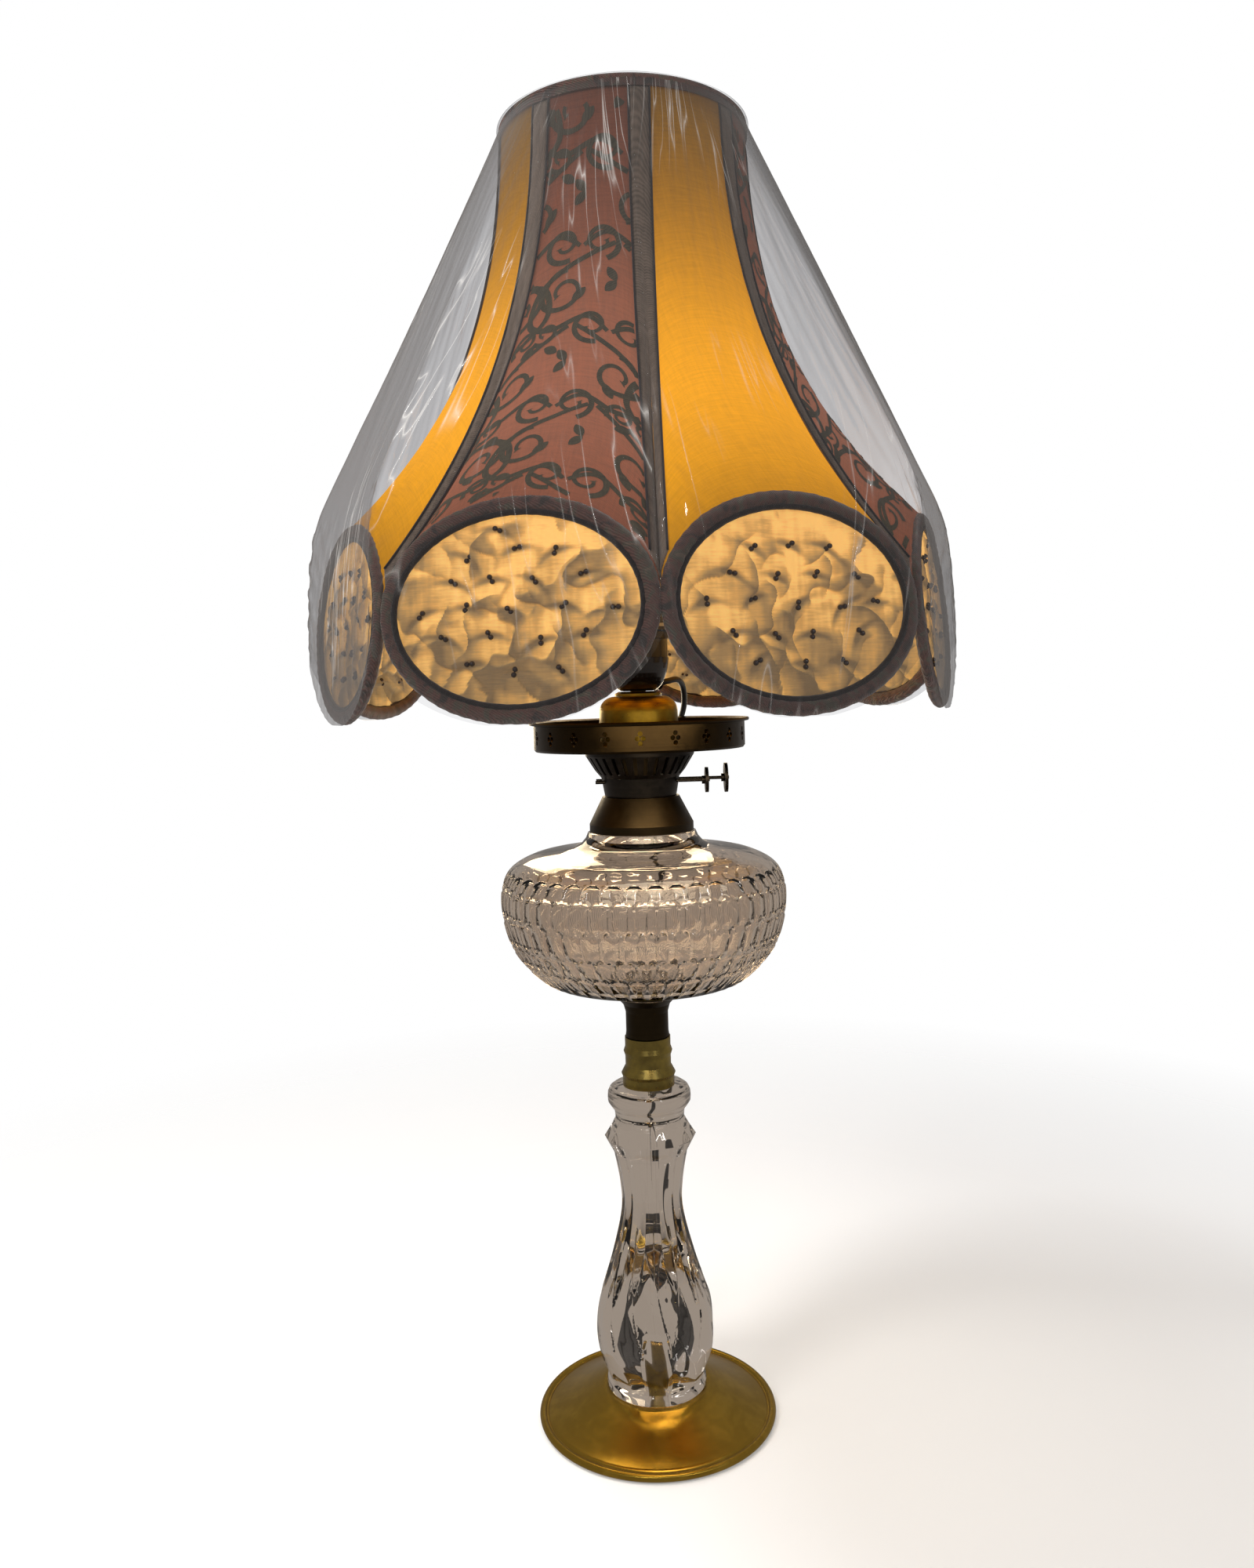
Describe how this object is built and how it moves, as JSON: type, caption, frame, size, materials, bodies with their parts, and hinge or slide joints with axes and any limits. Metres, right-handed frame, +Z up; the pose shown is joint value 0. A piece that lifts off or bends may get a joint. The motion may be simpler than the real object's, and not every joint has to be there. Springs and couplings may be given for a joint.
{
  "type": "table lamp",
  "caption": "Glass-and-brass oil-burner style table lamp converted to electricity, with a panelled bell shade that lifts off.",
  "frame": {"origin": "on the table, at the middle of the base", "axes": "+Z up the lamp, -Y towards the front rib of the shade, +X towards the winders' thumb discs"},
  "size_m": [0.4224, 0.4224, 0.819],
  "materials": {
    "felt": "matt felt",
    "cast_iron": "rough",
    "base_brass": "brushed and lacquered",
    "steel": "zinc-plated wire",
    "aged_brass": "aged",
    "stem_crystal": "clear, polished",
    "font_crystal": "clear, pressed with a honeycomb",
    "plaster": "matt plaster",
    "brown_brass": "dark patina",
    "black_bronze": "near-black patina",
    "spur_brass": "plain",
    "dome_brass": "spun, satin",
    "electric_brass": "bright",
    "black_phenolic": "moulded, semi-gloss",
    "grommet_rubber": "matt",
    "bulb_glass": "frosted, lit",
    "filament": "glowing",
    "binding_cloth": "dark brocade, ruched",
    "gold_silk": "plain slub weave",
    "brocade": "scroll-patterned weave",
    "organza": "sheer, ruched and beaded",
    "film": "clear glossy film",
    "cord_rubber": "smooth",
    "plug_steel": "nickel-plated"
  },
  "bodies": {
    "stand": {"base_pad": "felt", "base_weight": "cast_iron", "base_dish": "base_brass", "foot_bolt": "steel", "foot_washer": "steel", "foot_insert": "aged_brass", "stem_glass": "stem_crystal", "stem_ferrule": "aged_brass", "ferrule_stud": "aged_brass", "font_ferrule": "aged_brass", "font_glass": "font_crystal", "collar_plaster": "plaster", "font_collar": "brown_brass", "burner_cup": "black_bronze", "burner_basket": "black_bronze", "wick_tubes": "brown_brass", "gallery_tray": "brown_brass", "burner_dome": "dome_brass", "dome_flange": "dome_brass", "socket_nipple": "electric_brass", "socket_locknut": "electric_brass", "socket_cap": "black_phenolic", "cord_grommet": "grommet_rubber", "socket_body": "black_phenolic", "screw_shell": "electric_brass", "centre_contact": "electric_brass", "cord_tube": "cord_rubber", "cord_coil": "cord_rubber", "plug_body": "cord_rubber", "plug_pins": "plug_steel"},
    "front_winder": {"front_spindle": "black_bronze", "front_thumb_disc": "black_bronze", "front_spur_wheels": "spur_brass"},
    "rear_winder": {"rear_spindle": "black_bronze", "rear_thumb_disc": "black_bronze", "rear_spur_wheels": "spur_brass"},
    "ring": {"shade_ring": "black_phenolic"},
    "shade": {"top_ring": "steel", "shade_ribs": "steel", "medallion_frames": "steel", "fitter_ring": "steel", "fitter_arms": "steel", "top_binding": "binding_cloth", "rib_bands": "binding_cloth", "gold_panels": "gold_silk", "brocade_panels": "brocade", "medallion_1": "organza", "medallion_2": "organza", "medallion_3": "organza", "medallion_4": "organza", "medallion_5": "organza", "medallion_6": "organza", "medallion_7": "organza", "medallion_8": "organza", "medallion_trims": "binding_cloth", "film_wrap": "film"},
    "bulb": {"bulb_cap": "electric_brass", "bulb_glass": "bulb_glass", "bulb_filament": "filament"}
  },
  "joints": [
    {"name": "front_winder_turn", "type": "hinge", "parent": "stand", "child": "front_winder", "pos_m": [0.042, -0.008, 0.4036], "axis": [1, 0, 0], "continuous": true},
    {"name": "rear_winder_turn", "type": "hinge", "parent": "stand", "child": "rear_winder", "pos_m": [0.0555, 0.008, 0.4036], "axis": [1, 0, 0], "continuous": true},
    {"name": "shade_ring_turn", "type": "hinge", "parent": "stand", "child": "ring", "pos_m": [0, 0, 0.4975], "axis": [0, 0, 1], "continuous": true},
    {"name": "shade_lift", "type": "slide", "parent": "ring", "child": "shade", "axis": [0, 0, 1], "range_m": [0, 0.2]},
    {"name": "bulb_turn", "type": "hinge", "parent": "stand", "child": "bulb", "pos_m": [0, 0, 0.5], "axis": [0, 0, 1], "continuous": true}
  ]
}
